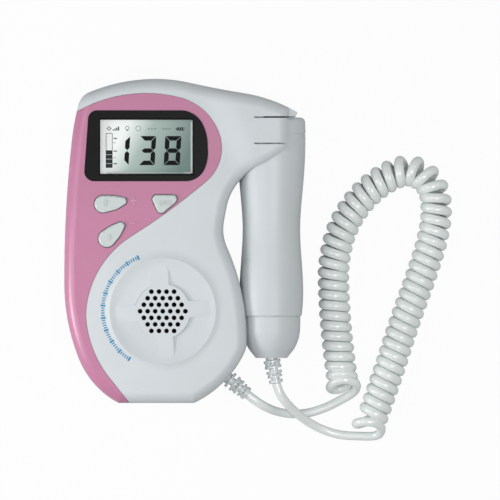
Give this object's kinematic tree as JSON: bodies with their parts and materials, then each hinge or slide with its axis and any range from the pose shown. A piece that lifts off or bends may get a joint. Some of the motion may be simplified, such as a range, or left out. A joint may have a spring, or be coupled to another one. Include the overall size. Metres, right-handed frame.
{
  "type": "fetal doppler monitor",
  "caption": "Hand-held fetal doppler: a flat unit with display, keys and loudspeaker whose clip arm holds a round ultrasound probe on a curly cord.",
  "frame": {"origin": "middle of the unit and its docked probe in plan, at the height of the flat back", "axes": "+Z out of the front face, +Y towards the end with the clip arm, +X from the unit to the probe"},
  "size_m": [0.1632, 0.1523, 0.0342],
  "materials": {
    "white_abs": "satin moulded ABS, off white",
    "pink_abs": "satin moulded ABS, dusty pink",
    "black_frame": "black moulded plastic",
    "clear_lens": "clear acrylic lens",
    "display_cell": "grey-green reflective liquid crystal cell",
    "light_guide": "white light guide",
    "circuit_board": "green solder mask",
    "connector": "ivory connector plastic",
    "steel": "zinc plated steel",
    "magnet": "sintered ferrite",
    "cone_paper": "black doped paper cone",
    "cell_jacket": "steel cell with a plain printed jacket",
    "contact_steel": "nickel plated spring steel",
    "seal_rubber": "nitrile rubber",
    "piezo": "silvered ceramic discs",
    "white_pvc": "soft white PVC"
  },
  "bodies": {
    "unit": {"front_shell": "white_abs", "rear_shell": "white_abs", "pink_panel": "pink_abs", "screen_bezel": "black_frame", "display_window": "clear_lens", "lcd_panel": "display_cell", "lcd_holder": "light_guide", "key_switches": "black_frame", "main_board": "circuit_board", "processor_chip": "black_frame", "board_parts": "connector", "earphone_jack": "black_frame", "speaker_frame": "steel", "speaker_magnet": "magnet", "battery_cells": "cell_jacket", "battery_contacts": "contact_steel", "case_screws": "steel", "unit_strain_relief": "white_pvc"},
    "probe": {"probe_handle": "white_abs", "probe_head_cap": "white_abs", "probe_tail_cap": "white_abs", "probe_seal": "seal_rubber", "transducer_crystals": "piezo", "transducer_backing": "black_frame", "probe_board": "circuit_board", "probe_strain_relief": "white_pvc", "cord_unit_lead": "white_pvc", "cord_coil": "white_pvc", "cord_probe_lead": "white_pvc"},
    "door": {"battery_door": "white_abs"},
    "cone": {"speaker_cone": "cone_paper"},
    "key_volume_up": {"button_volume_up": "white_abs"},
    "key_volume_down": {"button_volume_down": "white_abs"},
    "key_power": {"button_power": "white_abs"}
  },
  "joints": [
    {"name": "probe_in_clip", "type": "slide", "parent": "unit", "child": "probe", "axis": [1, 0, 0], "range_m": [0, 0.04]},
    {"name": "battery_door_slide", "type": "slide", "parent": "unit", "child": "door", "axis": [0, -1, 0], "range_m": [0, 0.056]},
    {"name": "speaker_cone_stroke", "type": "slide", "parent": "unit", "child": "cone", "axis": [0, 0, 1], "range_m": [-0.0003, 0.0003], "stiffness_N_per_m": 1500},
    {"name": "key_volume_up_press", "type": "slide", "parent": "unit", "child": "key_volume_up", "axis": [0, 0, -1], "range_m": [0, 0.0008], "stiffness_N_per_m": 600, "springref_m": -0.0015},
    {"name": "key_volume_down_press", "type": "slide", "parent": "unit", "child": "key_volume_down", "axis": [0, 0, -1], "range_m": [0, 0.0008], "stiffness_N_per_m": 600, "springref_m": -0.0015},
    {"name": "key_power_press", "type": "slide", "parent": "unit", "child": "key_power", "axis": [0, 0, -1], "range_m": [0, 0.0008], "stiffness_N_per_m": 600, "springref_m": -0.0015}
  ]
}
